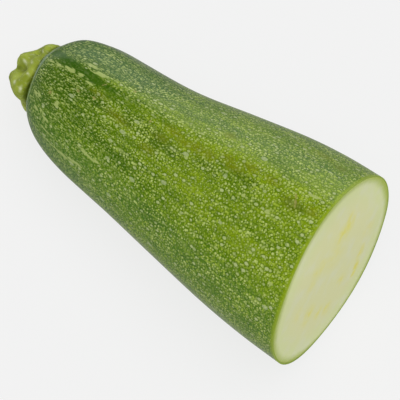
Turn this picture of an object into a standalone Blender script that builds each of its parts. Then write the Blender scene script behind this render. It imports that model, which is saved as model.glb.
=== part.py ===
# Half a courgette, as cut, lying on its side: the fruit with its flat cut face, and the
# stub of its stem. Metres, +Z up. The fruit's long axis runs along +X, from stem to cut.

import math

import bmesh
import bpy
from mathutils import Vector

MM = 0.001

# The fruit, measured along its own axis from the crown, the ring that is nearest the stem
CUT_DIAMETER = 54.0 * MM
BODY_LENGTH = 95.6 * MM
SEAT_DEPTH = 1.7 * MM  # how far the stem's seat lies below the crown
CUT_YAW = math.radians(4.9)  # the knife's slant, to +Y
CUT_PITCH = math.radians(1.0)  # and upwards

# Five flattish sides run the whole length, and ten low ribs fade out from the stem
SIDES = 5
FIRST_EDGE = math.radians(-11)  # of an edge between two sides, from the top towards -Y
EDGE_HEIGHT = 0.013  # as a share of the radius
RIBS = 10
RIB_HEIGHT = 0.012
RIB_REACH = 48.0 * MM
FLAT_SIDE = math.radians(170)  # of the flattest side, from the top towards -Y
FLAT_DEPTH = 0.025

# The stem's stub, measured from its seat in the fruit
STEM_LENGTH = 11.6 * MM
STEM_RIDGES = 5
STEM_SWAY = 3.9 * MM  # how far its end leans towards -Y
STEM_DROP = 0.5 * MM  # and downwards
STEM_END_TURN = math.radians(9)  # how far the end's face turns towards -Y
STEM_FIRST_RIDGE = math.radians(-16)  # from the top towards -Y
CREASE_AT_FOOT = 0.18  # depth of the creases between the ridges, as a share of the radius
CREASE_AT_END = 0.38
STEM_GAP = 0.35 * MM  # between the stem and its seat
STEM_FLARE = 1.2 * MM  # how much wider its foot spreads under the fruit than on top
FLARE_SIDE = math.radians(200)
RIDGE_END = 0.7 * MM  # how far the ridges stand past the valleys on the stem's cut end

# How the fruit lies
BELLY_PRESS = 0.7 * MM  # depth of the flats that it rests on
SHOULDER_REACH = 40.0 * MM  # one flat is nearer to the crown than this, one is further

FRUIT_SEGMENTS = 70
STEM_SEGMENTS = 60

# Outline of the fruit from the pit under the stem to the cut: (distance past the crown,
# radius). The last radius is the cut's.
FRUIT_OUTLINE = [
    (SEAT_DEPTH, 0.0),
    (SEAT_DEPTH, 7.6 * MM),
    (0.8 * MM, 8.8 * MM),
    (0.0, 10.4 * MM),
    (0.9 * MM, 12.0 * MM),
    (3.2 * MM, 14.0 * MM),
    (6.9 * MM, 15.8 * MM),
    (12.2 * MM, 17.3 * MM),
    (20.0 * MM, 18.4 * MM),
    (37.0 * MM, 20.0 * MM),
    (54.5 * MM, 22.9 * MM),
    (71.0 * MM, 25.5 * MM),
    (84.0 * MM, 26.7 * MM),
    (BODY_LENGTH, CUT_DIAMETER / 2),
]
FRUIT_STEPS = [1, 2, 2, 3, 3, 3, 3, 4, 5, 5, 5, 4, 4]  # rings on each stretch

# The middle of the fruit curves sideways: (distance past the crown, shift towards -Y)
BOW = [
    (-10.0 * MM, -0.1 * MM),
    (0.0, -0.1 * MM),
    (7.0 * MM, 0.35 * MM),
    (20.0 * MM, 1.35 * MM),
    (38.0 * MM, 1.65 * MM),
    (55.0 * MM, 1.05 * MM),
    (75.0 * MM, 0.5 * MM),
    (BODY_LENGTH, 0.2 * MM),
]

# Outline of the stem's ridges from seat to end: (height over the seat, radius)
STEM_OUTLINE = [
    (STEM_GAP, 0.0),
    (STEM_GAP, 6.6 * MM),
    (1.9 * MM, 8.3 * MM),
    (2.8 * MM, 10.6 * MM),
    (4.2 * MM, 10.8 * MM),
    (6.6 * MM, 9.3 * MM),
    (9.0 * MM, 7.2 * MM),
    (10.9 * MM, 5.6 * MM),
    (STEM_LENGTH, 4.8 * MM),
    (11.3 * MM, 3.3 * MM),
    (10.9 * MM, 0.0),
]
STEM_STEPS = [1, 2, 2, 2, 3, 3, 3, 2, 2, 2]


def clear_scene():
    for obj in list(bpy.data.objects):
        bpy.data.objects.remove(obj, do_unlink=True)


def make_material(name, colour, roughness):
    material = bpy.data.materials.new(name)
    material.use_nodes = True
    shader = material.node_tree.nodes["Principled BSDF"]
    shader.inputs["Base Color"].default_value = (*colour, 1.0)
    shader.inputs["Roughness"].default_value = roughness
    shader.inputs["Metallic"].default_value = 0.0
    return material


def smooth_step(value):
    value = min(max(value, 0.0), 1.0)
    return value * value * (3 - 2 * value)


def curve_point(before, start, end, after, share):
    """A point between start and end, on the smooth curve that also passes its two neighbours."""
    slope_start = (end - before) / 2
    slope_end = (after - start) / 2
    square = share * share
    cube = square * share
    return (
        start * (2 * cube - 3 * square + 1)
        + slope_start * (cube - 2 * square + share)
        + end * (3 * square - 2 * cube)
        + slope_end * (cube - square)
    )


def smooth_outline(knots, steps):
    """Points of the smooth curve through the knots, with a number of steps on each stretch."""
    points = [Vector(knot) for knot in knots]
    padded = [points[0] * 2 - points[1], *points, points[-1] * 2 - points[-2]]
    outline = []
    for index, count in enumerate(steps):
        for step in range(count):
            outline.append(curve_point(*padded[index : index + 4], step / count))
    outline.append(points[-1])
    return outline


def spin_outline(outline, segments):
    """A mesh turned round the X axis. The outline's pairs are (along X, radius)."""
    mesh = bmesh.new()
    ring = [mesh.verts.new((along, 0, max(radius, 0))) for along, radius in outline]
    edges = [mesh.edges.new(pair) for pair in zip(ring, ring[1:])]
    bmesh.ops.spin(
        mesh,
        geom=ring + edges,
        cent=(0, 0, 0),
        axis=(1, 0, 0),
        angle=math.tau,
        steps=segments,
        use_merge=True,
    )
    bmesh.ops.remove_doubles(mesh, verts=mesh.verts, dist=1e-6)
    return mesh


def along_curve(knots, place):
    """The height at a place on the smooth curve through (place, height) knots."""
    places = [knot[0] for knot in knots]
    heights = [knot[1] for knot in knots]
    place = min(max(place, places[0]), places[-1])
    index = next(i for i in range(1, len(places)) if place <= places[i])
    share = (place - places[index - 1]) / (places[index] - places[index - 1])
    near = [heights[max(index - 2, 0)], heights[index - 1], heights[index]]
    near.append(heights[min(index + 1, len(heights) - 1)])
    return curve_point(*near, share)


def angle_from_top(point):
    """The angle round the X axis, from +Z towards -Y."""
    return math.atan2(-point.y, point.z)


def fruit_swell(along, angle):
    """The share that the flattish sides and the ribs add to the round radius."""
    from_stem = smooth_step(along / (20 * MM))
    edges = EDGE_HEIGHT * from_stem * math.cos(SIDES * (angle - FIRST_EDGE))
    fade = 1 - smooth_step(along / RIB_REACH)
    rise = smooth_step(along / (6 * MM))
    ribs = RIB_HEIGHT * fade * rise * math.cos(RIBS * (angle - FIRST_EDGE))
    flat = FLAT_DEPTH * from_stem * max(0, math.cos(angle - FLAT_SIDE)) ** 2
    return 1 + edges + ribs - flat


def shape_fruit(mesh):
    for vert in mesh.verts:
        along = vert.co.x
        swell = fruit_swell(along, angle_from_top(vert.co))
        vert.co.y *= swell
        vert.co.z *= swell
        slant = smooth_step((along - BODY_LENGTH / 2) / (BODY_LENGTH / 2))
        vert.co.x -= slant * (
            vert.co.y * math.tan(CUT_YAW) + vert.co.z * math.tan(CUT_PITCH)
        )
        vert.co.y -= along_curve(BOW, along)


def close_cut(mesh):
    """Fills the open ring at the cut with one flat face, and gives it the flesh's material."""
    rim = [edge for edge in mesh.edges if edge.is_boundary]
    made = bmesh.ops.contextual_create(mesh, geom=rim)
    for face in made["faces"]:
        face.material_index = 1


def table_under(mesh):
    """The table's tilt against the fruit's axis, and its height, when shoulder and belly lie on it."""
    shoulder = [vert.co for vert in mesh.verts if vert.co.x < SHOULDER_REACH]
    belly = [vert.co for vert in mesh.verts if vert.co.x >= SHOULDER_REACH]
    tilt = 0.0
    for _ in range(10):
        up = Vector((math.sin(tilt), 0, math.cos(tilt)))
        front = min(shoulder, key=up.dot)
        back = min(belly, key=up.dot)
        tilt = math.atan2(front.z - back.z, back.x - front.x)
    return up, up.dot(front) + BELLY_PRESS, tilt


def press_belly(mesh, up, table_height):
    """Presses flat what lies below the table."""
    for vert in mesh.verts:
        below = table_height - up.dot(vert.co)
        if below > 0:
            vert.co += up * below


def make_object(name, mesh, materials, parent):
    mesh.normal_update()
    bmesh.ops.recalc_face_normals(mesh, faces=mesh.faces)
    data = bpy.data.meshes.new(name)
    mesh.to_mesh(data)
    mesh.free()
    for material in materials:
        data.materials.append(material)
    data.shade_smooth()
    obj = bpy.data.objects.new(name, data)
    bpy.context.scene.collection.objects.link(obj)
    obj.parent = parent
    return obj


def make_fruit(parent, skin, flesh):
    mesh = spin_outline(smooth_outline(FRUIT_OUTLINE, FRUIT_STEPS), FRUIT_SEGMENTS)
    shape_fruit(mesh)
    close_cut(mesh)
    up, table_height, tilt = table_under(mesh)
    press_belly(mesh, up, table_height)
    return make_object("fruit", mesh, [skin, flesh], parent), tilt


def stem_ridge(angle):
    """1 on a ridge of the stem, 0 in the crease between two ridges."""
    wave = math.cos(STEM_RIDGES / 2 * (angle - STEM_FIRST_RIDGE))
    return math.sqrt(wave * wave + 0.05) / math.sqrt(1.05)


def shape_stem(mesh):
    for vert in mesh.verts:
        height = vert.co.x
        ridge = stem_ridge(angle_from_top(vert.co))
        depth = CREASE_AT_FOOT * smooth_step(height / (3 * MM))
        depth += (CREASE_AT_END - CREASE_AT_FOOT) * smooth_step(
            (height - 3 * MM) / (7 * MM)
        )
        foot = smooth_step((height - 1.2 * MM) / (1.2 * MM)) * (
            1 - smooth_step((height - 3 * MM) / (2.2 * MM))
        )
        side = (1 + math.cos(angle_from_top(vert.co) - FLARE_SIDE)) / 2
        across = max(math.hypot(vert.co.y, vert.co.z), 1 * MM)
        width = 1 - depth * (1 - ridge) + foot * side * STEM_FLARE / across
        vert.co.y *= width
        vert.co.z *= width
        radius = math.hypot(vert.co.y, vert.co.z)
        near_end = smooth_step((height - 5 * MM) / (3.5 * MM))
        notch = RIDGE_END * (1 - ridge) * smooth_step(radius / (3 * MM))
        vert.co.x += near_end * (vert.co.y * math.tan(STEM_END_TURN) - notch)
        lean = max(height - 1.4 * MM, 0) / (STEM_LENGTH - 1.4 * MM)
        vert.co.y -= STEM_SWAY * lean
        vert.co.z -= STEM_DROP * lean


def make_stem(parent, skin):
    mesh = spin_outline(smooth_outline(STEM_OUTLINE, STEM_STEPS), STEM_SEGMENTS)
    shape_stem(mesh)
    # The stem is shaped growing along +X, and grows from the fruit along -X.
    for vert in mesh.verts:
        vert.co.x = -vert.co.x
    stem = make_object("stem", mesh, [skin], parent)
    stem.location = (SEAT_DEPTH, -along_curve(BOW, 0), 0)
    return stem


def lie_on_table(lying, pieces, tilt):
    """Turns the whole to lie with its belly on Z = 0 and the middle of its box over the origin."""
    lying.rotation_euler = (0, -tilt, 0)
    bpy.context.view_layer.update()
    corners = [
        piece.matrix_world @ vert.co for piece in pieces for vert in piece.data.vertices
    ]
    low = [min(corner[axis] for corner in corners) for axis in range(3)]
    high = [max(corner[axis] for corner in corners) for axis in range(3)]
    lying.location = (-(low[0] + high[0]) / 2, -(low[1] + high[1]) / 2, -low[2])


def main():
    clear_scene()
    skin = make_material("skin", (0.16, 0.27, 0.035), 0.4)
    flesh = make_material("flesh", (0.72, 0.70, 0.40), 0.45)
    stem_green = make_material("stem_green", (0.32, 0.40, 0.06), 0.5)
    lying = bpy.data.objects.new("courgette", None)
    bpy.context.scene.collection.objects.link(lying)
    fruit, tilt = make_fruit(lying, skin, flesh)
    stem = make_stem(lying, stem_green)
    lie_on_table(lying, [fruit, stem], tilt)


main()
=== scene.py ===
import math

import bmesh
import bpy
from mathutils import Matrix, Vector, noise


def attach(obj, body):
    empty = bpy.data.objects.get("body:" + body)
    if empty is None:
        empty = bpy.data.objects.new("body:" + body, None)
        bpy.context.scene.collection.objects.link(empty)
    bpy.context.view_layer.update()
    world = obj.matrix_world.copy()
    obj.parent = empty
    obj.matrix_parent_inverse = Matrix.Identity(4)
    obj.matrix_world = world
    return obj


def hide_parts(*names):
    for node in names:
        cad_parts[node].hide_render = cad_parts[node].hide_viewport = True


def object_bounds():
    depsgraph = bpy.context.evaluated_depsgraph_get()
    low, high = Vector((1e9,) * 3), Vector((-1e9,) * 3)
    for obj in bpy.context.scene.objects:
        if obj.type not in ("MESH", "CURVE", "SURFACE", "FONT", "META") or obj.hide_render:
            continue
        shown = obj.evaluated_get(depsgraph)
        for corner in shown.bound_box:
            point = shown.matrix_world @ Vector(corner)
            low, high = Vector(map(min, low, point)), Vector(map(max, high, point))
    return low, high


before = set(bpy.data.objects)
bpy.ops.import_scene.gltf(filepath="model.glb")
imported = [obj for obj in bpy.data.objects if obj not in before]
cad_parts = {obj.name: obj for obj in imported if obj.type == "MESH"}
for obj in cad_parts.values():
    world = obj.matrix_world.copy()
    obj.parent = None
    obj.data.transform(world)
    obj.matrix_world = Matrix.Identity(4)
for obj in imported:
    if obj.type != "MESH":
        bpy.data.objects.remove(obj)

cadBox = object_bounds()
print("frame loaded:", sorted(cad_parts))

mm = 0.001
# how the half lies: the fruit's own axis runs from the crown, under the stem, to the cut
fruitLie = {
    "crown": Vector((-0.04437, -0.00009, 0.01446)),
    "tilt": math.radians(7.578),          # the axis rises to the cut
    "cutCentre": Vector((0.050374, -0.000261, 0.027205)),
    "cutNormal": Vector((0.9852, 0.0854, 0.1486)).normalized(),
}
fruitAxis = Vector((math.cos(fruitLie["tilt"]), 0, math.sin(fruitLie["tilt"])))
fruitUp = Vector((-fruitAxis.z, 0, fruitAxis.x))


# small helpers for node trees

def put(tree, kind, inputs=None, **settings):
    made = tree.nodes.new(kind)
    for name, value in settings.items():
        setattr(made, name, value)
    for name, value in (inputs or {}).items():
        if isinstance(value, bpy.types.NodeSocket):
            tree.links.new(value, made.inputs[name])
        else:
            made.inputs[name].default_value = value
    return made


def reckon(tree, operation, first, second=0.0, clamp=False):
    return put(tree, "ShaderNodeMath", {0: first, 1: second},
               operation=operation, use_clamp=clamp).outputs[0]


def product(tree, first, *others):
    for value in others:
        first = reckon(tree, "MULTIPLY", first, value)
    return first


def total(tree, first, *others):
    for value in others:
        first = reckon(tree, "ADD", first, value)
    return first


def reckonVector(tree, operation, first, second=(0, 0, 0), result="Vector"):
    return put(tree, "ShaderNodeVectorMath", {0: first, 1: second},
               operation=operation).outputs[result]


def ramp(tree, value, start, end, low=0.0, high=1.0):
    return put(tree, "ShaderNodeMapRange",
               {"Value": value, "From Min": start, "From Max": end, "To Min": low, "To Max": high},
               interpolation_type="SMOOTHSTEP").outputs["Result"]


def blendColour(tree, amount, under, over):
    mix = put(tree, "ShaderNodeMix", data_type="RGBA")
    for socket, value in ((mix.inputs[0], amount), (mix.inputs[6], under), (mix.inputs[7], over)):
        if isinstance(value, bpy.types.NodeSocket):
            tree.links.new(value, socket)
        else:
            socket.default_value = value
    return mix.outputs[2]


def paint(red, green, blue):
    # a colour given on screen (0 to 255) as the shader's linear value
    parts = [(c / 255) / 12.92 if c / 255 < 0.04045 else ((c / 255 + 0.055) / 1.055) ** 2.4
             for c in (red, green, blue)]
    return (*parts, 1.0)


# helpers for modelling with operators

def selectOnly(piece):
    bpy.ops.object.select_all(action="DESELECT")
    piece.select_set(True)
    bpy.context.view_layer.objects.active = piece


def editFaces(piece, chosen):
    # goes into edit mode with just the faces selected that the rule picks
    selectOnly(piece)
    bpy.ops.object.mode_set(mode="EDIT")
    bpy.ops.mesh.select_mode(type="FACE")
    bpy.ops.mesh.select_all(action="DESELECT")
    edited = bmesh.from_edit_mesh(piece.data)
    for face in edited.faces:
        face.select = bool(chosen(face))
    bmesh.update_edit_mesh(piece.data)


def leaveEdit():
    bpy.ops.object.mode_set(mode="OBJECT")


def addModifier(piece, kind, name, **settings):
    modifier = piece.modifiers.new(name, kind)
    for key, value in settings.items():
        setattr(modifier, key, value)
    selectOnly(piece)
    bpy.ops.object.modifier_apply(modifier=name)


def shadeSmooth(piece, degrees):
    selectOnly(piece)
    bpy.ops.object.shade_smooth_by_angle(angle=math.radians(degrees))


nodeCopy = {
    "merge": 0.01 * mm,
    "bend": 30,              # degrees between two triangles that may still become a quad
    "skew": 60,              # and how far from square that quad may be
}


def copyNode(nodeName, pieceName):
    # a copy of a CAD node's mesh, its loose triangles joined to quads
    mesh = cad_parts[nodeName].data.copy()
    mesh.name = pieceName
    mesh.materials.clear()
    piece = bpy.data.objects.new(pieceName, mesh)
    bpy.context.scene.collection.objects.link(piece)
    editFaces(piece, lambda face: True)
    bpy.ops.mesh.remove_doubles(threshold=nodeCopy["merge"])
    bpy.ops.mesh.tris_convert_to_quads(face_threshold=math.radians(nodeCopy["bend"]),
                                       shape_threshold=math.radians(nodeCopy["skew"]))
    leaveEdit()
    return piece


# places on the fruit

def alongAndAround(place):
    # distance from the crown, angle from the top towards the near side, distance off the axis
    off = place - fruitLie["crown"]
    along = off.dot(fruitAxis)
    side = off - along * fruitAxis
    return along, math.atan2(-side.y, side.dot(fruitUp)), side.length


def outwardAt(degrees):
    # the way off the axis at an angle from the top towards the near side
    turn = math.radians(degrees)
    return fruitUp * math.cos(turn) + Vector((0, -math.sin(turn), 0))


cutFaces = {
    "facing": 0.985,         # how squarely a face has to look the cut's way
    "within": 0.2 * mm,      # and how near the cut it has to lie
}
# the knife went in a little nearer the stem over the top of the cut
cutBow = {
    "depth": 1.25 * mm,
    "towards": -25,          # degrees from the top, where it is deepest
    "radius": 27 * mm,
    "reach": (0.10, 0.95),   # shares of the radius that way between which it sets in
    "fade": 7 * mm,          # how far down the fruit its effect ends
}


def onCut(face):
    off = face.calc_center_median() - fruitLie["cutCentre"]
    return face.normal.dot(fruitLie["cutNormal"]) > cutFaces["facing"] and \
        abs(off.dot(fruitLie["cutNormal"])) < cutFaces["within"]


def bowed(place):
    # the place moved as the bowed cut asks for
    off = place - fruitLie["cutCentre"]
    start, end = cutBow["reach"]
    share = (off.dot(outwardAt(cutBow["towards"])) / cutBow["radius"] - start) / (end - start)
    share = min(1.0, max(0.0, share))
    share = share * share * (3 - 2 * share)
    near = max(0.0, 1 + off.dot(fruitLie["cutNormal"]) / cutBow["fade"])
    return place - fruitAxis * cutBow["depth"] * share * min(1.0, near)


# camera and light: plain soft studio, nothing but the half on a pale floor
cameraSet = {
    "place": (0.13304, -0.15414, 0.50557),
    "azimuth": 39.3101,
    "elevation": 68.2260,
    "lens": 180,
}
lightSet = {
    "daylight": 0.62,        # even brightness of the sky for what isn't mirrored
    "overhead": 0.02,        # the dark strip of the sky that the middle of the skin mirrors
    "farSide": 1.05,         # the bright sky beyond the strip's far edge, and its near edge
    "nearSide": 0.27,
    "farEdge": (-66, -56),   # degrees from the strip's middle line where it ends
    "nearEdge": (50, 70),
    "farLow": (-130, -96),   # the bright sky fades again towards the horizon
    "lowShare": 0.30,
    "ends": 0.12,            # the sky over the two ends of the fruit
    "endsFrom": (0.72, 0.92),
    "fill": 1.45,
    "fillAngle": 60,
    "fillTurn": 18,          # the fill comes from this much beyond the camera, over the far side
    "through": (40, 10),     # degrees from straight down the view where the pale floor mirrors
    "throughLevel": 0.40,
    "backdrop": 0.887,
}
floorPaint = {
    "size": 8,
    "tone": 0.897,
    "glow": 0.78,            # how much of the tone is its own light, which keeps it even
    "dust": 1.01,            # its lighter patches
    "dustScale": 3.0,
}


def makeCamera():
    data = bpy.data.cameras.new("camera")
    data.lens = cameraSet["lens"]
    data.sensor_width = 36
    data.clip_start = 10 * mm
    camera = bpy.data.objects.new("camera", data)
    bpy.context.scene.collection.objects.link(camera)
    camera.location = cameraSet["place"]
    camera.rotation_euler = (math.radians(90 - cameraSet["elevation"]), 0,
                             math.radians(cameraSet["azimuth"]))
    bpy.context.scene.camera = camera
    bpy.context.scene.view_settings.view_transform = "Standard"
    return camera


def makeSky(viewSide, upwards, nearwards):
    # a dark strip lies over the whole length of the fruit, and the light comes in from both sides
    world = bpy.data.worlds.new("studio")
    bpy.context.scene.world = world
    world.use_nodes = True
    tree = world.node_tree
    tree.nodes.clear()
    direction = put(tree, "ShaderNodeTexCoord").outputs["Generated"]
    up, near, ahead, down = (reckonVector(tree, "DOT_PRODUCT", direction, side, "Value")
                             for side in (upwards, nearwards, fruitAxis, -viewSide))
    angle = reckon(tree, "ARCTAN2", near, up)
    farStart, farEnd = (math.radians(edge) for edge in lightSet["farEdge"])
    nearStart, nearEnd = (math.radians(edge) for edge in lightSet["nearEdge"])
    lowStart, lowEnd = (math.radians(edge) for edge in lightSet["farLow"])
    outer, inner = (math.cos(math.radians(edge)) for edge in lightSet["through"])
    farLevel = product(tree, ramp(tree, angle, farEnd, farStart, lightSet["overhead"], lightSet["farSide"]),
                       ramp(tree, angle, lowStart, lowEnd, lightSet["lowShare"], 1.0))
    nearLevel = ramp(tree, angle, nearStart, nearEnd, lightSet["overhead"], lightSet["nearSide"])
    endLevel = ramp(tree, reckon(tree, "ABSOLUTE", ahead), *lightSet["endsFrom"], 0.0, lightSet["ends"])
    throughLevel = ramp(tree, down, outer, inner, 0.0, lightSet["throughLevel"])
    level = farLevel
    for other in (nearLevel, endLevel, throughLevel):
        level = reckon(tree, "MAXIMUM", level, other)
    path = put(tree, "ShaderNodeLightPath").outputs
    strength = put(tree, "ShaderNodeMapRange",
                   {"Value": path["Is Glossy Ray"], "To Min": lightSet["daylight"], "To Max": level})
    light = put(tree, "ShaderNodeBackground", {"Strength": strength.outputs[0]})
    pale = lightSet["backdrop"]
    behind = put(tree, "ShaderNodeBackground", {"Color": (pale, pale, pale, 1), "Strength": 1.0})
    mixed = put(tree, "ShaderNodeMixShader",
                {0: path["Is Camera Ray"], 1: light.outputs[0], 2: behind.outputs[0]})
    put(tree, "ShaderNodeOutputWorld", {"Surface": mixed.outputs[0]})


def makeFill(camera, viewSide, nearwards):
    data = bpy.data.lights.new("fill", "SUN")
    data.energy = lightSet["fill"]
    data.angle = math.radians(lightSet["fillAngle"])
    fill = bpy.data.objects.new("fill", data)
    bpy.context.scene.collection.objects.link(fill)
    turned = camera.rotation_euler.to_matrix()
    turned.rotate(Matrix.Rotation(math.radians(lightSet["fillTurn"]), 3, viewSide.cross(-nearwards)))
    fill.rotation_euler = turned.to_euler()
    fill.visible_glossy = False


def makeFloor():
    bpy.ops.object.select_all(action="DESELECT")
    bpy.ops.mesh.primitive_plane_add(size=floorPaint["size"], location=(0, 0, 0))
    floor = bpy.context.object
    floor.name = "floor"
    material = bpy.data.materials.new("paleFloor")
    material.use_nodes = True
    tree = material.node_tree
    shader = tree.nodes["Principled BSDF"]
    place = put(tree, "ShaderNodeTexCoord").outputs["Object"]
    dust = put(tree, "ShaderNodeTexNoise",
               {"Vector": place, "Scale": floorPaint["dustScale"], "Detail": 2.0})
    tone = floorPaint["tone"] - floorPaint["glow"]
    lighter = tone * floorPaint["dust"]
    shade = blendColour(tree, dust.outputs["Fac"], (tone, tone, tone, 1), (lighter, lighter, lighter, 1))
    tree.links.new(shade, shader.inputs["Base Color"])
    shader.inputs["Roughness"].default_value = 1.0
    shader.inputs["Specular IOR Level"].default_value = 0.0
    shader.inputs["Emission Color"].default_value = (1, 1, 1, 1)
    shader.inputs["Emission Strength"].default_value = floorPaint["glow"]
    floor.data.materials.append(material)
    floor.visible_glossy = False


camera = makeCamera()
viewSide = camera.rotation_euler.to_matrix() @ Vector((0, 0, 1))
nearwards = fruitAxis.cross(viewSide).normalized()
makeSky(viewSide, nearwards.cross(fruitAxis).normalized(), nearwards)
makeFill(camera, viewSide, nearwards)
makeFloor()
print("camera, light and floor made")


# skin: the outside of the fruit as a thin closed shell, open at the cut where the flesh shows
skinForm = {
    "thickness": 0.45 * mm,
    "smoothing": 1,
    "shading": 50,               # edges sharper than this many degrees stay sharp
    "crownRadius": 10.4 * mm,
    "shoulderRadius": 17.3 * mm,
    "pitDepth": 3 * mm,
    "lipRise": 1.1 * mm,         # the top of the crown's ring bulges over the foot of the stem
    "lipAngle": 2,
    "lipRadius": 11.5 * mm,
    "lipReach": (24, 3.2 * mm),  # degrees round the ring, and across it
    "lipEnd": 8 * mm,            # no part of it lies further from the crown
}
skinMap = {
    "length": 117 * mm,          # from the middle of the pit to the cut, as it is unrolled
    "width": 138 * mm,           # round the fruit half way down
    "pit": 11 * mm,              # how much of the length lies in the pit
    "turn": 0.98,                # share of the square that the way round takes
    "outside": (0.1, 0.89),      # where the outside starts in it, and the share that it takes
    "inside": (0.005, 0.07),
    "middleHole": 0.1 * mm,      # nearer the axis than this, a corner has its face's angle
}
topLine = skinMap["width"] / skinMap["turn"] / 2       # where the fruit's top lies, unrolled


def makeSkin():
    skin = copyNode("fruit", "skin")
    editFaces(skin, onCut)
    bpy.ops.mesh.delete(type="FACE")
    leaveEdit()
    addModifier(skin, "SUBSURF", "smooth", levels=skinForm["smoothing"],
                render_levels=skinForm["smoothing"], boundary_smooth="ALL")
    for vert in skin.data.vertices:
        along, angle, away = alongAndAround(vert.co)
        if along < skinForm["lipEnd"]:
            turn = (math.degrees(angle) - skinForm["lipAngle"]) / skinForm["lipReach"][0]
            across = (away - skinForm["lipRadius"]) / skinForm["lipReach"][1]
            vert.co -= fruitAxis * skinForm["lipRise"] * math.exp(-turn * turn - across * across)
    depth = skin.data.attributes.new("cutDepth", "FLOAT", "POINT")
    for vert in skin.data.vertices:
        depth.data[vert.index].value = (vert.co - fruitLie["cutCentre"]).dot(fruitLie["cutNormal"])
        vert.co = bowed(vert.co)
    addModifier(skin, "SOLIDIFY", "wall", thickness=skinForm["thickness"], offset=-1,
                use_even_offset=True)
    shadeSmooth(skin, skinForm["shading"])
    layOutSkin(skin)
    return skin


def lengthDown(along, away):
    # how far a point lies down the skin from the crown's ring, less than nothing in the pit
    if away < skinForm["crownRadius"] and along < skinForm["pitDepth"]:
        return away - skinForm["crownRadius"]
    return along + 0.5 * (min(away, skinForm["shoulderRadius"]) - skinForm["crownRadius"])


def layOutSkin(skin):
    # a map for the shell: its outside unrolled over most of the square, the inside below it
    for old in list(skin.data.uv_layers):
        skin.data.uv_layers.remove(old)
    layer = skin.data.uv_layers.new(name="OFBake")
    for face in skin.data.polygons:
        off = face.center - fruitLie["crown"]
        radial = off - off.dot(fruitAxis) * fruitAxis
        inPit = radial.length < skinForm["crownRadius"] and off.dot(fruitAxis) < skinForm["pitDepth"]
        outside = face.normal.dot(fruitAxis) < 0 if inPit else face.normal.dot(radial) > 0
        low, share = skinMap["outside"] if outside else skinMap["inside"]
        faceAngle = alongAndAround(face.center)[1]
        for loop in face.loop_indices:
            place = skin.data.vertices[skin.data.loops[loop].vertex_index].co
            along, angle, away = alongAndAround(place)
            if away < skinMap["middleHole"]:
                angle = faceAngle
            if angle - faceAngle > math.pi:
                angle -= 2 * math.pi
            if faceAngle - angle > math.pi:
                angle += 2 * math.pi
            across = 0.5 + angle / (2 * math.pi) * skinMap["turn"]
            height = (lengthDown(along, away) + skinMap["pit"]) / skinMap["length"]
            layer.data[loop].uv = (across, low + share * height)


skin = makeSkin()
print("skin made:", len(skin.data.polygons), "faces")


# flesh: the solid inside the skin, with a fine cut face
fleshForm = {
    "inside": 0.40 * mm,       # its wall lies just inside the skin
    "shading": 50,
    "span": 17,                # rows of faces across the cut before they are divided
    "cuts": 3,
    "sunk": 0.03 * mm,
    "flatness": 0.01 * mm,     # what lies this near the sunk cut belongs to it
    "relief": 0.10 * mm,
    "reliefScale": 160,
    "reliefEdge": 26.2 * mm,   # the relief ends here and is full this much further in
    "reliefFade": 4 * mm,
}


def makeFlesh():
    flesh = copyNode("fruit", "flesh")
    normal, centre = fruitLie["cutNormal"], fruitLie["cutCentre"]
    editFaces(flesh, onCut)
    bpy.ops.mesh.delete(type="FACE")
    bpy.ops.mesh.select_all(action="SELECT")
    bpy.ops.transform.shrink_fatten(value=-fleshForm["inside"])
    bpy.ops.mesh.select_all(action="DESELECT")
    bpy.ops.mesh.select_mode(type="EDGE")
    edited = bmesh.from_edit_mesh(flesh.data)
    for edge in edited.edges:
        edge.select = edge.is_boundary
    for vert in {v for edge in edited.edges if edge.is_boundary for v in edge.verts}:
        vert.co -= normal * ((vert.co - centre).dot(normal) + fleshForm["sunk"])
    bmesh.update_edit_mesh(flesh.data)
    bpy.ops.mesh.fill_grid(span=fleshForm["span"])
    bpy.ops.mesh.subdivide(number_cuts=fleshForm["cuts"])
    leaveEdit()
    for vert in flesh.data.vertices:
        off = vert.co - centre
        if abs(off.dot(normal) + fleshForm["sunk"]) < fleshForm["flatness"]:
            hollow = 0.5 + 0.5 * noise.noise(off * fleshForm["reliefScale"])
            inward = (fleshForm["reliefEdge"] - off.length) / fleshForm["reliefFade"]
            vert.co -= normal * hollow * min(1.0, max(0.0, inward)) * fleshForm["relief"]
        vert.co = bowed(vert.co)
    shadeSmooth(flesh, fleshForm["shading"])
    return flesh


flesh = makeFlesh()
print("flesh made:", len(flesh.data.polygons), "faces")


# stem: the ridged stub, smoothed and given its uneven, fibrous surface
stemForm = {
    "smoothing": 2,
    "shading": 55,
    "lumps": 0.175 * mm,
    "lumpScale": (220, 1.6, 150),      # along the stem, round it and away from its middle
    "fibres": 0.10 * mm,
    "fibreScale": (90, 9.0, 900),
    "lean": 0.05,                      # how much its end is set back towards the far side
    "radius": 8.5,                     # millimetres, for the way round from swelling to swelling
    # swellings and dents: millimetres before the crown, degrees from the top, reach, height
    "swells": ((5.2, -4, 1.4, -1.2), (4.0, -3, 1.3, -0.9), (2.4, 2, 1.0, -0.5),
               (2.8, -16, 2.2, 0.75), (7.9, 20, 1.8, 0.55), (3.8, 72, 3.2, 0.6),
               (5.7, 70, 1.8, 0.45), (5.6, 45, 1.5, -0.7), (7.8, 50, 1.3, -0.5)),
    "clearance": 0.02 * mm,            # its end stays this far inside the whole half's box
}


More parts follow.
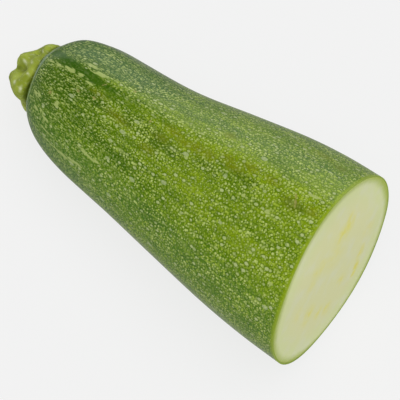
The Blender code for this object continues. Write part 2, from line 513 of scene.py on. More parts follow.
def makeStem():
    stem = copyNode("stem", "stemStub")
    addModifier(stem, "SUBSURF", "smooth", levels=stemForm["smoothing"],
                render_levels=stemForm["smoothing"])
    outward = [vert.normal.copy() for vert in stem.data.vertices]
    for vert, direction in zip(stem.data.vertices, outward):
        along, angle, away = alongAndAround(vert.co)
        lump, fibre = (noise.noise(Vector((along * scale[0], angle * scale[1], away * scale[2])))
                       for scale in (stemForm["lumpScale"], stemForm["fibreScale"]))
        push = lump * stemForm["lumps"] + fibre * stemForm["fibres"]
        for before, turn, reach, height in stemForm["swells"]:
            apart = math.radians(turn) - angle
            apart = math.atan2(math.sin(apart), math.cos(apart)) * stemForm["radius"]
            gap = math.hypot(along / mm + before, apart) / reach
            push += height * mm * math.exp(-gap * gap)
        vert.co += direction * push
        vert.co.y -= along * stemForm["lean"] if along < 0 else 0
        vert.co.x = max(vert.co.x, cadBox[0][0] + stemForm["clearance"])
    shadeSmooth(stem, stemForm["shading"])
    return stem


stem = makeStem()
print("stem made:", len(stem.data.polygons), "faces")


# a group that more than one material uses: fine fibres or grain drawn out along the fruit
def makeGrainGroup():
    group = bpy.data.node_groups.new("courgetteGrain", "ShaderNodeTree")
    group.interface.new_socket("Vector", in_out="INPUT", socket_type="NodeSocketVector")
    for name, value in (("Scale", 900.0), ("Stretch", 0.2), ("Sharpness", 0.5)):
        socket = group.interface.new_socket(name, in_out="INPUT", socket_type="NodeSocketFloat")
        socket.default_value = value
    group.interface.new_socket("Grain", in_out="OUTPUT", socket_type="NodeSocketFloat")
    given = put(group, "NodeGroupInput").outputs
    size = put(group, "ShaderNodeCombineXYZ", {"X": product(group, given["Scale"], given["Stretch"]),
                                               "Y": given["Scale"], "Z": given["Scale"]})
    drawn = reckonVector(group, "MULTIPLY", given["Vector"], size.outputs[0])
    grain = put(group, "ShaderNodeTexNoise", {"Vector": drawn, "Scale": 1.0, "Detail": 3.0,
                                              "Roughness": given["Sharpness"]})
    put(group, "NodeGroupOutput", {"Grain": grain.outputs["Fac"]})
    return group


followRadius = 20 * mm


# another: the fruit's own place, and one that keeps this radius from crown to cut, for streaks
def makeFollowGroup():
    group = bpy.data.node_groups.new("alongCourgette", "ShaderNodeTree")
    group.interface.new_socket("Vector", in_out="INPUT", socket_type="NodeSocketVector")
    for name in ("Place", "Follow"):
        group.interface.new_socket(name, in_out="OUTPUT", socket_type="NodeSocketVector")
    group.interface.new_socket("Along", in_out="OUTPUT", socket_type="NodeSocketFloat")
    given = put(group, "NodeGroupInput").outputs
    place = put(group, "ShaderNodeMapping",
                {"Vector": given["Vector"], "Location": fruitLie["crown"],
                 "Rotation": (0, -fruitLie["tilt"], 0)}, vector_type="TEXTURE").outputs[0]
    split = put(group, "ShaderNodeSeparateXYZ", {0: place}).outputs
    side = put(group, "ShaderNodeCombineXYZ", {"Y": split["Y"], "Z": split["Z"]}).outputs[0]
    spread = put(group, "ShaderNodeVectorMath",
                 {0: reckonVector(group, "NORMALIZE", side), "Scale": followRadius},
                 operation="SCALE").outputs[0]
    lengthwise = put(group, "ShaderNodeCombineXYZ", {"X": split["X"]}).outputs[0]
    put(group, "NodeGroupOutput", {"Place": place, "Along": split["X"],
                                   "Follow": reckonVector(group, "ADD", spread, lengthwise)})
    return group


grainGroup = makeGrainGroup()
followGroup = makeFollowGroup()


def grainOf(tree, vector, scale, stretch, sharpness):
    return put(tree, "ShaderNodeGroup", {"Vector": vector, "Scale": scale, "Stretch": stretch,
                                         "Sharpness": sharpness}, node_tree=grainGroup).outputs["Grain"]


def newMaterial(name):
    material = bpy.data.materials.new(name)
    material.use_nodes = True
    return material, material.node_tree, material.node_tree.nodes["Principled BSDF"]


def markMask(tree, vector, piece, marks, edge):
    # soft ellipses laid on a piece, each in the plane that touches its surface there; a mark is
    # given by millimetres from the crown, degrees from the top to the near side, length, width, turn
    outOfPiece, depth = 40 * mm, 4 * mm
    strongest = None
    for along, angle, length, width, turn in marks:
        outward = outwardAt(angle)
        start = fruitLie["crown"] + fruitAxis * along * mm
        _, spot, normal, _ = piece.ray_cast(start + outward * outOfPiece, -outward)
        lengthwise = (fruitAxis - normal * fruitAxis.dot(normal)).normalized()
        lengthwise.rotate(Matrix.Rotation(math.radians(-turn), 3, normal))
        across = normal.cross(lengthwise)
        lie = Matrix((lengthwise, across, normal)).transposed().to_euler("XYZ")
        local = put(tree, "ShaderNodeMapping",
                    {"Vector": vector, "Location": spot, "Rotation": lie,
                     "Scale": (length / 2 * mm, width / 2 * mm, depth)}, vector_type="TEXTURE")
        one = put(tree, "ShaderNodeTexGradient", {"Vector": local.outputs[0]},
                  gradient_type="SPHERICAL").outputs["Fac"]
        strongest = one if strongest is None else reckon(tree, "MAXIMUM", strongest, one)
    return ramp(tree, strongest, 0.0, edge)


# skin finish: a mottled dark and yellow green under a dense net of small pale dots
skinPaint = {
    "dark": paint(62, 100, 2),
    "green": paint(98, 132, 2),
    "yellow": paint(134, 162, 4),
    "net": paint(174, 196, 70),
    "gap": paint(48, 84, 0),
    "dot": paint(190, 207, 116),
    "middleDot": paint(184, 198, 134),
    "largeDot": paint(182, 195, 142),
    "streak": paint(174, 190, 108),
    "tan": paint(168, 158, 92),
    "olive": paint(118, 128, 4),
    "shade": paint(50, 92, 4),
    # painted shade over the near side and, cooler, over the far side
    "nearSideShade": paint(72, 124, 24),
    "farSideShade": paint(70, 122, 40),
    "dusk": paint(52, 88, 0),
    # painted reflection: the sky's bluish sheen on the far flank near the stem
    "tealReflection": paint(62, 106, 44),
    # painted shade down in the pit under the stem
    "pit": paint(34, 58, 6),
    "byCut": paint(146, 170, 20),
    "rim": paint(150, 174, 44),
    # painted highlight along the crown's rounded lip
    "lipHighlight": paint(150, 170, 142),
    "netScale": 1500.0,
    "netStretch": 0.25,
    "unevenness": 0.14 * mm,     # how far whatever is drawn on the skin is nudged about
    "unevenScale": 1100.0,
    "crumble": 2.2,              # how ragged the net makes the streaks and patches
    "oliveVeil": 0.26,           # the olive bands show through the dots a little
    # how strongly the painted lip highlight is laid
    "lipHighlightShare": 0.6,
    # and how strongly the painted shade in the pit is laid
    "pitShare": 0.9,
    "roughness": 0.15,
    "fineRoughness": 0.10,
    "dotRoughness": 0.05,
    "dotHeight": 0.5,
    "bump": 0.05 * mm,
    "bumpStrength": 0.35,
}
# grains drawn out along the fruit: scale, width for their length, sharpness
skinGrains = {
    "broad": (130.0, 0.14, 0.5),
    "fine": (520.0, 0.14, 0.6),
    "crowd": (420.0, 0.14, 0.5),
    "rows": (1000.0, 0.10, 0.4),
}
# how much each grain and side of the fruit counts in the tone, from dark to yellow green; the near side and
# the far side by the stem are painted shade
skinTone = {"broad": 0.34, "fine": 0.50, "level": 0.085, "near": -0.05, "farShadeByStem": -0.26}
toneLimits = {"green": (0.32, 0.50), "yellow": (0.44, 0.66)}      # the tones where each sets in
# what changes along the fruit: from and to, millimetres from the crown, and the level at either end
alongFades = {
    "toneByStem": (0, 60, -0.18, 0.03),
    "toneByCut": (66, 95, 0.0, 0.06),
    # painted shade on the far side near the stem
    "farShadeByStem": (18, 45, 1.0, 0.0),
    "shade": (12, 38, 1.0, 0.45),
    "tiny": (0, 36, 0.42, 1.0),
    "fewerSmall": (4, 34, 0.45, 0.0),
    "outOfRows": (12, 45, 0.0, 0.25),
    "row": (10, 45, 0.75, 0.15),
    "dash": (20, 50, 0.8, 0.12),
    # where the painted shade in the pit fades out
    "pit": (4, 6, 1.0, 0.0),
}
# what changes round the fruit: from and to, millimetres from the top line, and the levels
roundFades = {
    # the near and far sides, which carry painted shade
    "near": (10, 26, 0.0, 1.0),
    "far": (-10, -4, 1.0, 0.0),
    # where the painted highlight on the crown's lip lies
    "lipHighlightDrop": (9, 22, 1.7 * mm, 3.0 * mm),      # the crown's ring lies lower on the near side
}
# how a mask sets another: from and to, and the levels
maskFades = {
    "bareOfShade": (0.0, 0.9, 1.0, 0.15),
    "bareOfOlive": (0.0, 1.0, 1.0, 0.65),
    "swell": (0.35, 0.65, 0.75, 1.15),
    "tinyLot": (0.0, 1.0, 0.50, 1.0),
    "tinyNet": (0.38, 0.54, 0.50, 1.0),
    "tinyRows": (0.42, 0.58, 0.42, 1.0),
    "tinyTone": (0.34, 0.56, 0.60, 1.0),
    "smallLot": (0.0, 1.0, 0.55, 1.0),
    "smallRows": (0.42, 0.58, 0.25, 1.0),
    "middleLot": (0.0, 1.0, 0.45, 0.9),
    "streak": (0.15, 0.75, 0.0, 0.85),
    "tan": (0.15, 0.75, 0.0, 0.60),
    "patchEdge": (0.0, 0.25, 0.0, 1.0),
    # across the crown's ring, where the painted lip highlight lies
    "lipHighlightInner": (-0.9 * mm, -0.4 * mm, 0.0, 1.0),
    "lipHighlightOuter": (0.2 * mm, 1.0 * mm, 1.0, 0.0),
    # the edge of the painted shade in the pit
    "pitShadeEdge": (9.8 * mm, 11.2 * mm, 1.0, 0.0),
}
# the last millimetres before the cut, and the thin green edge of the skin itself
cutFades = {
    "byCut": (-1.3 * mm, -0.2 * mm, 0.0, 0.8),
    "rim": (-0.2 * mm, -0.05 * mm, 0.0, 0.9),
}
# bands over the ground in the order they are laid, and how far each hides what is under it; the two side
# bands are painted shade and the teal band a painted reflection
bandShares = {"olive": 0.60, "farSideShade": 0.30, "dusk": 0.65, "tealReflection": 0.80, "shade": 0.80, "nearSideShade": 0.62}
# marks in those colours: where a mark's edge lies in its soft ellipse, and the marks
skinMarks = {
    "olive": (1.0, (
        (43.1, 21.5, 9, 4, 0), (44.5, 9.9, 9, 4, 0), (51.4, 4.4, 9, 4, 0), (58.6, 2.7, 9, 4.5, 0),
        (63.7, -1.6, 8, 4, 0), (70.1, -3.7, 10, 4.5, 0), (77.0, -3.9, 8, 3.5, 0), (85.2, 1.3, 10, 5, 0),
        (90.5, -1.1, 7, 4.5, 0), (22.0, 8.0, 10, 2.6, 0), (59.2, -16.6, 6, 4, 0),
        (80.8, -42.6, 10, 5, 0), (86.3, -39.0, 7, 4.5, 0), (31.0, 15.0, 14, 4, 4),
        (46.5, 1.5, 12, 4, 4), (54.5, 3.0, 12, 4.4, 0), (66.5, 1.5, 12, 4, 0),
    )),
    "dusk": (0.7, (
        (39.0, 9.5, 13.0, 7.0, 4), (42.6, 12.9, 13.0, 8.0, 4), (44.6, 14.8, 9.0, 5.0, 12),
        (34.6, 11.6, 9.0, 4.6, 3), (49.9, 12.7, 12.0, 5.0, 2), (15.3, 14.0, 14.0, 7.0, 1),
        (22.6, 13.8, 12.0, 6.0, 2), (71.7, 3.6, 13.0, 4.0, 1), (85.8, 1.2, 10.0, 4.0, 3),
        (60.0, 9.0, 12.0, 4.0, 2),
    )),
    # painted reflection: the sky's bluish sheen along the far flank
    "tealReflection": (0.7, (
        (13.0, -24.5, 22.0, 7.0, -6), (29.4, -29.8, 26.0, 6.0, -5), (41.0, -36.0, 18.0, 4.0, -5),
        (24.0, -16.0, 18.0, 3.0, -4),
    )),
    "shade": (0.55, (
        (3.6, -6.5, 9.0, 3.4, 6), (9.0, -2.6, 14.0, 3.8, 5), (17.0, -0.6, 16.0, 3.6, 3),
        (25.0, 0.4, 16.0, 2.9, 0), (33.0, 0.0, 17.0, 2.6, -2), (41.5, -1.0, 14.0, 2.4, -3),
    )),
    "streak": (1.0, (
        (3.4, 4.0, 5.2, 1.3, 3), (6.6, 3.8, 5.6, 1.5, 1), (10.4, 3.0, 6.0, 1.8, -3),
        (14.2, 2.6, 4.2, 2.2, 0), (17.6, 4.2, 4.8, 1.4, 6), (18.4, -7.2, 9.4, 1.9, -3),
        (29.0, 51.7, 14.5, 1.5, 3), (24.9, 64.3, 11.0, 1.3, -1), (14.2, -33.6, 4.8, 1.0, -9),
        (16.8, 3.2, 3.4, 1.1, 5), (6.3, 39.6, 2.4, 1.4, 15), (7.4, 52.0, 4.4, 1.3, 0),
        (11.6, 52.6, 4.4, 1.6, -4), (4.8, 41.2, 4.0, 2.0, 10), (13.3, 34.7, 3.0, 2.4, 0),
        (2.4, 19.3, 1.8, 1.4, 0), (12.0, 60.4, 13.2, 0.5, 0), (17.1, 67.1, 12.1, 0.6, -3),
        (13.6, 34.4, 2.0, 1.6, 0), (88.3, -9.1, 5.2, 1.1, -12), (43.5, 10.9, 1.4, 1.3, 0),
        (52.5, 4.8, 2.0, 1.3, 0), (53.2, -7.8, 1.8, 1.3, 0), (81.2, 12.0, 2.6, 1.7, 0),
        (67.1, 46.2, 2.4, 1.5, 0), (73.4, 11.8, 1.6, 1.3, 0), (54.1, 12.0, 1.5, 1.3, 0),
        (65.6, 5.7, 1.6, 1.3, 0), (68.9, 5.9, 1.6, 1.3, 0), (75.8, 2.3, 1.8, 1.4, 0),
        (73.9, 4.2, 1.6, 1.3, 0), (85.2, 29.2, 1.8, 1.5, 0), (91.8, 42.6, 2.0, 1.5, 0),
        (74.4, 44.5, 1.6, 1.3, 0), (88.2, 39.2, 1.6, 1.3, 0), (83.2, 34.7, 1.6, 1.3, 0),
    )),
    "tan": (1.0, (
        (9.7, 30.1, 2.0, 1.6, 0), (16.6, 15.0, 1.8, 1.5, 0), (21.9, 12.7, 1.8, 1.4, 0),
        (21.6, -0.3, 2.4, 0.6, -50), (29.6, -10.6, 1.3, 1.0, 0), (39.2, 4.1, 1.4, 1.1, 0),
        (85.0, -2.0, 6.4, 0.9, 56),
    )),
}
# dots, one to a cell: millimetres from cell to cell, how wide a cell is for its length, the smallest
# and largest radius as shares of a cell, the soft edge, and the share of cells that have a dot
dotSizes = {
    "tiny": (0.64, 0.86, 0.28, 0.52, 0.04, 1.0),
    "small": (0.80, 0.84, 0.13, 0.36, 0.03, 1.0),
    "middle": (1.6, 0.60, 0.0, 0.22, 0.03, 0.55),
    "large": (4.4, 0.52, 0.0, 0.12, 0.02, 0.40),
    "row": (0.62, 0.42, 0.14, 0.44, 0.08, 1.0),
    "dash": (4.2, 0.28, 0.0, 0.16, 0.04, 0.30),
}
# the darker ring round each dot: how strong it is, how far out it lies, and the sizes it sets in at
ringShares = {"tiny": 0.55, "small": 0.50, "middle": 0.40}
ringReach = (-0.30, -0.02)
ringSizes = (0.02, 0.12)
# the far side's painted shade near the stem also thins the tiny dots
farShadeShare = 0.75              # how much of the tiny dots the far side near the stem is without
largeShare = 0.6


def alongFade(tree, lay, name):
    start, end, low, high = alongFades[name]
    return ramp(tree, lay["along"], start * mm, end * mm, low, high)


def roundFade(tree, lay, name):
    start, end, low, high = roundFades[name]
    return ramp(tree, lay["around"], topLine + start * mm, topLine + end * mm, low, high)


def laySkin(tree):
    # where a point lies on the fruit, in each of the ways that its patterns need
    place = put(tree, "ShaderNodeTexCoord").outputs["Object"]
    fruitSpace = put(tree, "ShaderNodeGroup", {"Vector": place}, node_tree=followGroup).outputs
    unrolled = put(tree, "ShaderNodeMapping",
                   {"Vector": put(tree, "ShaderNodeUVMap", uv_map="OFBake").outputs[0],
                    "Scale": (skinMap["width"] / skinMap["turn"],
                              skinMap["length"] / skinMap["outside"][1], 0.0)}).outputs[0]
    wobble = put(tree, "ShaderNodeTexNoise",
                 {"Vector": fruitSpace["Place"], "Scale": skinPaint["unevenScale"], "Detail": 1.0})
    shift = reckonVector(tree, "SUBTRACT", wobble.outputs["Color"], (0.5, 0.5, 0.5))
    nudge = put(tree, "ShaderNodeVectorMath", {0: shift, "Scale": skinPaint["unevenness"]},
                operation="SCALE").outputs[0]
    split = put(tree, "ShaderNodeSeparateXYZ", {0: unrolled}).outputs
    return {"own": fruitSpace["Place"], "follow": fruitSpace["Follow"], "along": fruitSpace["Along"],
            "unrolled": unrolled, "around": split["X"], "down": split["Y"],
            "uneven": reckonVector(tree, "ADD", unrolled, nudge),
            "unevenPlace": reckonVector(tree, "ADD", place, nudge)}


def maskSkin(tree, lay):
    # the sides of the fruit, the grains and the marks, each a mask over the skin
    lengthwise = put(tree, "ShaderNodeMapping",
                     {"Vector": lay["unrolled"], "Rotation": (0, 0, math.pi / 2)}).outputs[0]
    threads = put(tree, "ShaderNodeMapping", {"Vector": lay["uneven"],
                                              "Scale": (1, skinPaint["netStretch"], 1)}).outputs[0]
    net = put(tree, "ShaderNodeTexNoise", {"Vector": threads, "Scale": skinPaint["netScale"],
                                           "Detail": 0.5}, noise_dimensions="2D").outputs["Fac"]
    mask = {name: markMask(tree, lay["unevenPlace"], skin, marks, edge)
            for name, (edge, marks) in skinMarks.items()}
    for name, settings in skinGrains.items():
        mask[name] = grainOf(tree, lengthwise if name == "rows" else lay["follow"], *settings)
    near, far = (roundFade(tree, lay, name) for name in ("near", "far"))
    # the near and far side bands are painted shade
    mask.update({"net": net, "near": near, "nearSideShade": near, "farSideShade": far,
                 "farShadeByStem": product(tree, far, alongFade(tree, lay, "farShadeByStem")),
                 "shade": product(tree, mask["shade"], alongFade(tree, lay, "shade"))})
    mask["bare"] = product(tree, ramp(tree, mask["shade"], *maskFades["bareOfShade"]),
                           ramp(tree, mask["olive"], *maskFades["bareOfOlive"]))
    weighed = {name: product(tree, mask[name], skinTone[name])
               for name in ("broad", "fine", "near", "farShadeByStem")}
    mask["tone"] = total(tree, weighed["broad"], weighed["fine"], skinTone["level"],
                         alongFade(tree, lay, "toneByStem"), alongFade(tree, lay, "toneByCut"),
                         weighed["near"], weighed["farShadeByStem"])
    return mask


def paintGround(tree, mask):
    ground = skinPaint["dark"]
    for name, limits in toneLimits.items():
        ground = blendColour(tree, ramp(tree, mask["tone"], *limits), ground, skinPaint[name])
    # the bands include painted shade on both sides and a painted reflection
    for name, share in bandShares.items():
        ground = blendColour(tree, product(tree, mask[name], share), ground, skinPaint[name])
    return ground


def dotLayer(tree, vector, name, swell=None):
    # the dots, a lot drawn for each of them, and the ring round each where it has one
    spacing, stretch, small, large, soft, share = dotSizes[name]
    spacing *= mm
    drawn = put(tree, "ShaderNodeMapping",
                {"Vector": vector, "Scale": (1 / spacing, stretch / spacing, 1 / spacing)})
    cells = put(tree, "ShaderNodeTexVoronoi", {"Vector": drawn.outputs[0], "Scale": 1.0,
                                               "Randomness": 0.9}, voronoi_dimensions="2D")
    lot = put(tree, "ShaderNodeSeparateColor", {0: cells.outputs["Color"]})
    size = put(tree, "ShaderNodeMapRange",
               {"Value": lot.outputs[0], "From Min": 1 - share, "From Max": 1.0,
                "To Min": small, "To Max": large}).outputs["Result"]
    if swell is not None:
        size = product(tree, size, swell)
    gap = reckon(tree, "SUBTRACT", size, cells.outputs["Distance"])
    dot = ramp(tree, gap, -soft, soft)
    ring = None
    if name in ringShares:
        ring = product(tree, ramp(tree, gap, *ringReach), ramp(tree, size, *ringSizes),
                       reckon(tree, "SUBTRACT", 1.0, dot))
    return dot, lot.outputs[1], ring


def speckle(tree, lay, mask, colour):
    # dots of four sizes, each under its own paint, and the small and middle ones for the relief
    bare = mask["bare"]
    swell = ramp(tree, mask["crowd"], *maskFades["swell"])
    dots, lots, rings = {}, {}, {}
    for name in ("tiny", "small", "middle", "large"):
        dots[name], lots[name], rings[name] = dotLayer(tree, lay["uneven"], name,
                                                       swell if name == "small" else None)
    # fewer tiny dots where the far side's painted shade lies
    outOfFarShade = reckon(tree, "SUBTRACT", 1.0, product(tree, mask["farShadeByStem"], farShadeShare))
    smallLot = reckon(tree, "SUBTRACT", ramp(tree, lots["small"], *maskFades["smallLot"]),
                      alongFade(tree, lay, "fewerSmall"))
    inRows = reckon(tree, "ADD", ramp(tree, mask["rows"], *maskFades["smallRows"]),
                    alongFade(tree, lay, "outOfRows"), clamp=True)
    amounts = {
        "tiny": product(tree, dots["tiny"], ramp(tree, lots["tiny"], *maskFades["tinyLot"]),
                        ramp(tree, mask["net"], *maskFades["tinyNet"]),
                        ramp(tree, mask["rows"], *maskFades["tinyRows"]),
                        ramp(tree, mask["tone"], *maskFades["tinyTone"]), bare,
                        alongFade(tree, lay, "tiny"), outOfFarShade),
        "small": product(tree, dots["small"], smallLot, bare, inRows),
        "middle": product(tree, dots["middle"], ramp(tree, lots["middle"], *maskFades["middleLot"]), bare),
        "large": product(tree, dots["large"], largeShare, bare),
    }
    for name, paintName in (("tiny", "net"), ("small", "dot"), ("middle", "middleDot"),
                            ("large", "largeDot")):
        if rings[name] is not None:
            dim = product(tree, rings[name], product(tree, bare, ringShares[name]))
            colour = blendColour(tree, dim, colour, skinPaint["gap"])
        colour = blendColour(tree, amounts[name], colour, skinPaint[paintName])
    return colour, dots


def streakSkin(tree, lay, mask, colour):
    # dots drawn out to short rows and dashes, most of them near the stem, then streaks and patches
    rows, lot, _ = dotLayer(tree, lay["uneven"], "row")
    rows = product(tree, rows, lot, alongFade(tree, lay, "row"), mask["bare"])
    colour = blendColour(tree, rows, colour, skinPaint["dot"])
    dashes, _, _ = dotLayer(tree, lay["uneven"], "dash")
    dashes = product(tree, dashes, alongFade(tree, lay, "dash"))
    colour = blendColour(tree, dashes, colour, skinPaint["streak"])
    crumble = product(tree, reckon(tree, "SUBTRACT", mask["net"], 0.5), skinPaint["crumble"])
    for name in ("streak", "tan"):
        patch = product(tree, ramp(tree, total(tree, mask[name], crumble), *maskFades[name]),
                        ramp(tree, mask[name], *maskFades["patchEdge"]))
        colour = blendColour(tree, patch, colour, skinPaint[name])
    veil = product(tree, mask["olive"], skinPaint["oliveVeil"])
    return blendColour(tree, veil, colour, skinPaint["olive"])


def paintCrownHighlightAndShade(tree, lay, colour):
    # painted highlight along the thin pale lip of the crown's ring, and painted shade, dark green, down in
    # the pit under the stem
    ringDown = skinMap["outside"][0] * skinMap["length"] / skinMap["outside"][1] + skinMap["pit"]
    off = reckon(tree, "SUBTRACT", reckon(tree, "SUBTRACT", lay["down"], ringDown),
                 roundFade(tree, lay, "lipHighlightDrop"))
    # the painted highlight along the lip
    lipHighlight = product(tree, ramp(tree, off, *maskFades["lipHighlightInner"]), ramp(tree, off, *maskFades["lipHighlightOuter"]))
    # the painted shade in the pit
    side = reckonVector(tree, "MULTIPLY", lay["own"], (0.0, 1.0, 1.0))
    offAxis = reckonVector(tree, "LENGTH", side, result="Value")
    pit = product(tree, ramp(tree, offAxis, *maskFades["pitShadeEdge"]), alongFade(tree, lay, "pit"))
    for name, amount in (("lipHighlight", lipHighlight), ("pit", pit)):
        colour = blendColour(tree, product(tree, amount, skinPaint[name + "Share"]), colour,
                             skinPaint[name])
    return colour


def finishSkin():
    material, tree, shader = newMaterial("courgetteSkin")
    lay = laySkin(tree)
    mask = maskSkin(tree, lay)
    colour, dots = speckle(tree, lay, mask, paintGround(tree, mask))
    colour = paintCrownHighlightAndShade(tree, lay, streakSkin(tree, lay, mask, colour))
    fromCut = put(tree, "ShaderNodeAttribute", attribute_name="cutDepth").outputs["Fac"]
    for name, limits in cutFades.items():
        colour = blendColour(tree, ramp(tree, fromCut, *limits), colour, skinPaint[name])
    tree.links.new(colour, shader.inputs["Base Color"])
    rough = total(tree, product(tree, mask["fine"], skinPaint["fineRoughness"]),
                  product(tree, dots["small"], skinPaint["dotRoughness"]), skinPaint["roughness"])
    tree.links.new(rough, shader.inputs["Roughness"])
    height = total(tree, product(tree, dots["small"], skinPaint["dotHeight"]),
                   product(tree, dots["middle"], skinPaint["dotHeight"]), mask["fine"])
    bump = put(tree, "ShaderNodeBump", {"Height": height, "Strength": skinPaint["bumpStrength"],
                                        "Distance": skinPaint["bump"]})
    tree.links.new(bump.outputs["Normal"], shader.inputs["Normal"])
    skin.data.materials.append(material)


finishSkin()
print("skin painted")


# flesh finish: pale and moist, greener towards the rim, with faint yellow seed streaks
fleshPaint = {
    "middle": paint(226, 227, 170),
    "outer": paint(221, 229, 166),
    "rim": paint(172, 190, 72),
    "grey": paint(226, 229, 192),
    "seed": paint(230, 224, 98),
    "outerFrom": (16 * mm, 25.5 * mm),
    "rimFrom": (24.4 * mm, 27.4 * mm),
    "rimRagged": 1.0 * mm,
    "roughness": (0.36, 0.50),
    "bump": 0.03 * mm,
}
# seed streaks: millimetres from the middle of the cut, length, width, and how strong
seedMarks = (
    (10.6, 9.5, 8.5, 7.0, 0.60), (6.8, 9.2, 8.0, 9.0, 0.50), (16.8, -4.5, 6.5, 7.0, 0.30),
    (12.3, -11.0, 7.0, 4.6, 0.55), (10.0, -14.9, 5.6, 4.4, 0.90), (8.4, -16.3, 4.0, 3.6, 0.80),
    (-6.0, 9.6, 6.5, 5.6, 0.35), (-3.3, 8.9, 6.5, 6.0, 0.35), (-8.1, 7.1, 7.0, 5.6, 0.35),
    (2.8, -10.7, 6.0, 6.0, 0.35), (-11.6, -5.0, 8.5, 7.4, 0.45), (-4.4, -14.8, 6.0, 5.6, 0.50),
    (-7.7, -10.9, 5.6, 5.6, 0.40), (2.3, 5.7, 12.0, 12.0, 0.25), (-15.0, 2.0, 7.0, 6.0, 0.25),
)
seedTurn = math.radians(54.5)


def seedMask(tree, face):
    strongest = None
    for acrossPlace, upPlace, length, width, strength in seedMarks:
        local = put(tree, "ShaderNodeMapping",
                    {"Vector": face, "Location": (acrossPlace * mm, upPlace * mm, 0),
                     "Rotation": (0, 0, seedTurn),
                     "Scale": (length / 2 * mm, width / 2 * mm, 10 * mm)}, vector_type="TEXTURE")
        ball = put(tree, "ShaderNodeTexGradient", {"Vector": local.outputs[0]},
                   gradient_type="SPHERICAL").outputs["Fac"]
        one = product(tree, ball, strength)
        strongest = one if strongest is None else reckon(tree, "MAXIMUM", strongest, one)
    seedGrain = grainOf(tree, face, 480.0, 0.8, 0.5)
    return reckon(tree, "MULTIPLY", strongest, ramp(tree, seedGrain, 0.35, 0.62, 0.5, 1.9), clamp=True)


def finishFlesh():
    material, tree, shader = newMaterial("courgetteFlesh")
    place = put(tree, "ShaderNodeTexCoord").outputs["Object"]
    turned = fruitLie["cutNormal"].to_track_quat("Z", "Y").to_euler("XYZ")
    face = put(tree, "ShaderNodeMapping",
               {"Vector": place, "Location": fruitLie["cutCentre"], "Rotation": turned},
               vector_type="TEXTURE").outputs[0]
    away = reckonVector(tree, "LENGTH", face, result="Value")
    soft = put(tree, "ShaderNodeTexNoise", {"Vector": face, "Scale": 170.0, "Detail": 2.0})
    colour = blendColour(tree, ramp(tree, away, *fleshPaint["outerFrom"]), fleshPaint["middle"],
                         fleshPaint["outer"])
    colour = blendColour(tree, ramp(tree, soft.outputs["Fac"], 0.45, 0.7, 0.0, 0.6), colour,
                         fleshPaint["grey"])
    colour = blendColour(tree, seedMask(tree, face), colour, fleshPaint["seed"])
    fibres = grainOf(tree, face, 900.0, 0.6, 0.6)
    ragged = total(tree, away, product(tree, fibres, fleshPaint["rimRagged"]))
    colour = blendColour(tree, ramp(tree, ragged, *fleshPaint["rimFrom"]), colour, fleshPaint["rim"])
    tree.links.new(colour, shader.inputs["Base Color"])
    grain = grainOf(tree, face, 2600.0, 1.0, 0.6)
    tree.links.new(ramp(tree, grain, 0.3, 0.7, *fleshPaint["roughness"]), shader.inputs["Roughness"])
    bump = put(tree, "ShaderNodeBump", {"Height": grain, "Strength": 0.3, "Distance": fleshPaint["bump"]})
    tree.links.new(bump.outputs["Normal"], shader.inputs["Normal"])
    flesh.data.materials.append(material)


finishFlesh()
print("flesh painted")


# stem finish: yellow green, dull and fibrous, with painted highlights along its ridges and painted shade in
# its creases and at its foot
stemPaint = {
    "green": paint(166, 182, 56),
    "olive": paint(140, 156, 34),
    # painted shade in the creases
    "valleyShade": paint(104, 116, 24),
    # painted shade at the foot of the stem, by the crown
    "foot": paint(54, 80, 6),
    # pale fibres, and the painted highlights on the ridges
    "pale": paint(222, 228, 186),
    "footFrom": (-1.3 * mm, -0.4 * mm),     # along the fruit's axis from its crown
    "roughness": (0.42, 0.60),
    "bump": 0.10 * mm,
}
# marks on the stem, as on the skin: painted shade in its creases and painted highlights on its ridges
stemValleyShades = (
    (-6.0, 46.0, 5.0, 3.0, -20), (-5.1, 38.0, 4.0, 2.2, -20), (-8.2, 52.0, 3.0, 2.0, 0),
    (-4.0, -1.0, 5.0, 0.9, 20),
)
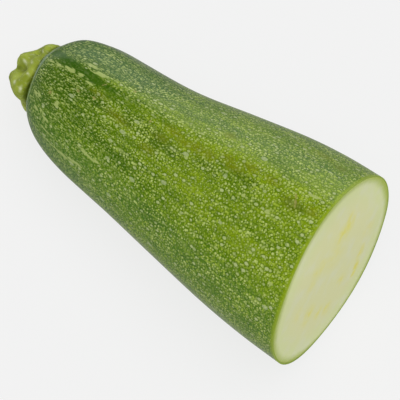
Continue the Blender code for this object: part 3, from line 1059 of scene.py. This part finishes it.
# painted highlights on the ridges
stemGlints = (
    (-6.2, 22.4, 3.4, 1.8, 0), (-3.8, 15.9, 2.8, 1.6, 0), (-5.0, 58.0, 3.4, 1.8, 0),
    (-1.9, 57.0, 1.6, 3.4, 0), (-2.5, 34.8, 3.0, 1.2, 20), (-2.9, -7.7, 3.6, 0.9, 0),
    (-4.8, 42.0, 2.6, 1.2, 0),
)


def finishStem():
    material, tree, shader = newMaterial("courgetteStem")
    place = put(tree, "ShaderNodeTexCoord").outputs["Object"]
    fruitSpace = put(tree, "ShaderNodeGroup", {"Vector": place}, node_tree=followGroup).outputs
    blotch = put(tree, "ShaderNodeTexNoise",
                 {"Vector": fruitSpace["Place"], "Scale": 260.0, "Detail": 3.0}).outputs["Fac"]
    fibre = grainOf(tree, fruitSpace["Place"], 1500.0, 0.14, 0.6)
    # painted shade in the creases
    valleyShade = markMask(tree, place, stem, stemValleyShades, 1.0)
    # painted highlights on the ridges
    glint = markMask(tree, place, stem, stemGlints, 1.0)
    colour = blendColour(tree, ramp(tree, blotch, 0.38, 0.62), stemPaint["olive"], stemPaint["green"])
    # pale fibres, partly real hairs and partly painted highlight
    colour = blendColour(tree, ramp(tree, fibre, 0.52, 0.75, 0.0, 0.4), colour, stemPaint["pale"])
    colour = blendColour(tree, product(tree, valleyShade, 0.7), colour, stemPaint["valleyShade"])
    # painted highlights on the ridges, broken up by the fibres
    glint = product(tree, glint, ramp(tree, fibre, 0.35, 0.6, 0.30, 0.80))
    colour = blendColour(tree, glint, colour, stemPaint["pale"])
    # painted shade at the foot of the stem
    foot = ramp(tree, fruitSpace["Along"], *stemPaint["footFrom"], 0.0, 0.90)
    colour = blendColour(tree, foot, colour, stemPaint["foot"])
    tree.links.new(colour, shader.inputs["Base Color"])
    tree.links.new(ramp(tree, fibre, 0.3, 0.7, *stemPaint["roughness"]), shader.inputs["Roughness"])
    bump = put(tree, "ShaderNodeBump", {"Height": fibre, "Strength": 0.5, "Distance": stemPaint["bump"]})
    tree.links.new(bump.outputs["Normal"], shader.inputs["Normal"])
    stem.data.materials.append(material)


finishStem()
print("stem painted")

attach(skin, "root")
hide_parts("fruit")
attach(flesh, "root")
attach(stem, "root")
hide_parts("stem")
